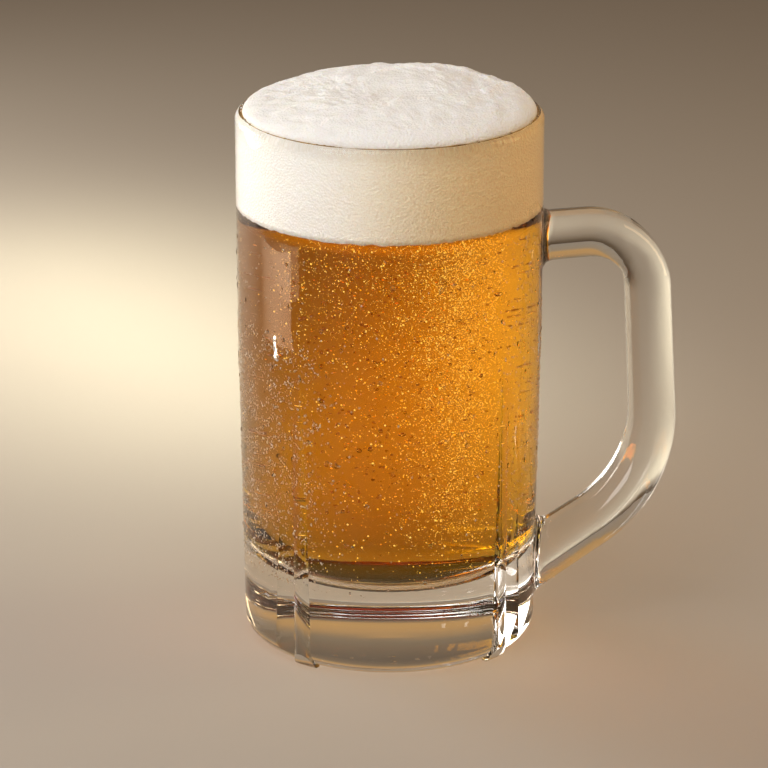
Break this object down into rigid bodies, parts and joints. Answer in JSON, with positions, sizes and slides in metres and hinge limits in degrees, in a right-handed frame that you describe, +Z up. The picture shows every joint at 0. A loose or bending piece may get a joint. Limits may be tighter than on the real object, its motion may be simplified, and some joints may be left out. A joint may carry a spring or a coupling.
{
  "type": "pint of beer in a handled glass mug",
  "caption": "Straight glass beer mug with a handle, thick base and ribbed sides, filled with golden lager under a domed head of white foam.",
  "frame": {"origin": "centre of the mug's foot, on the axis of its round body", "axes": "+Z up, +X towards the handle, -Y out of the broad front panel"},
  "size_m": [0.125, 0.086, 0.16],
  "materials": {
    "glass": "clear pressed soda-lime glass, smooth and glossy, with fine condensation outside",
    "beer": "clear golden lager with rising bubbles",
    "foam": "dense off-white foam, matt, with fine bubbles"
  },
  "bodies": {
    "root": {"mug": "glass", "beer": "beer", "foam": "foam"}
  },
  "joints": []
}
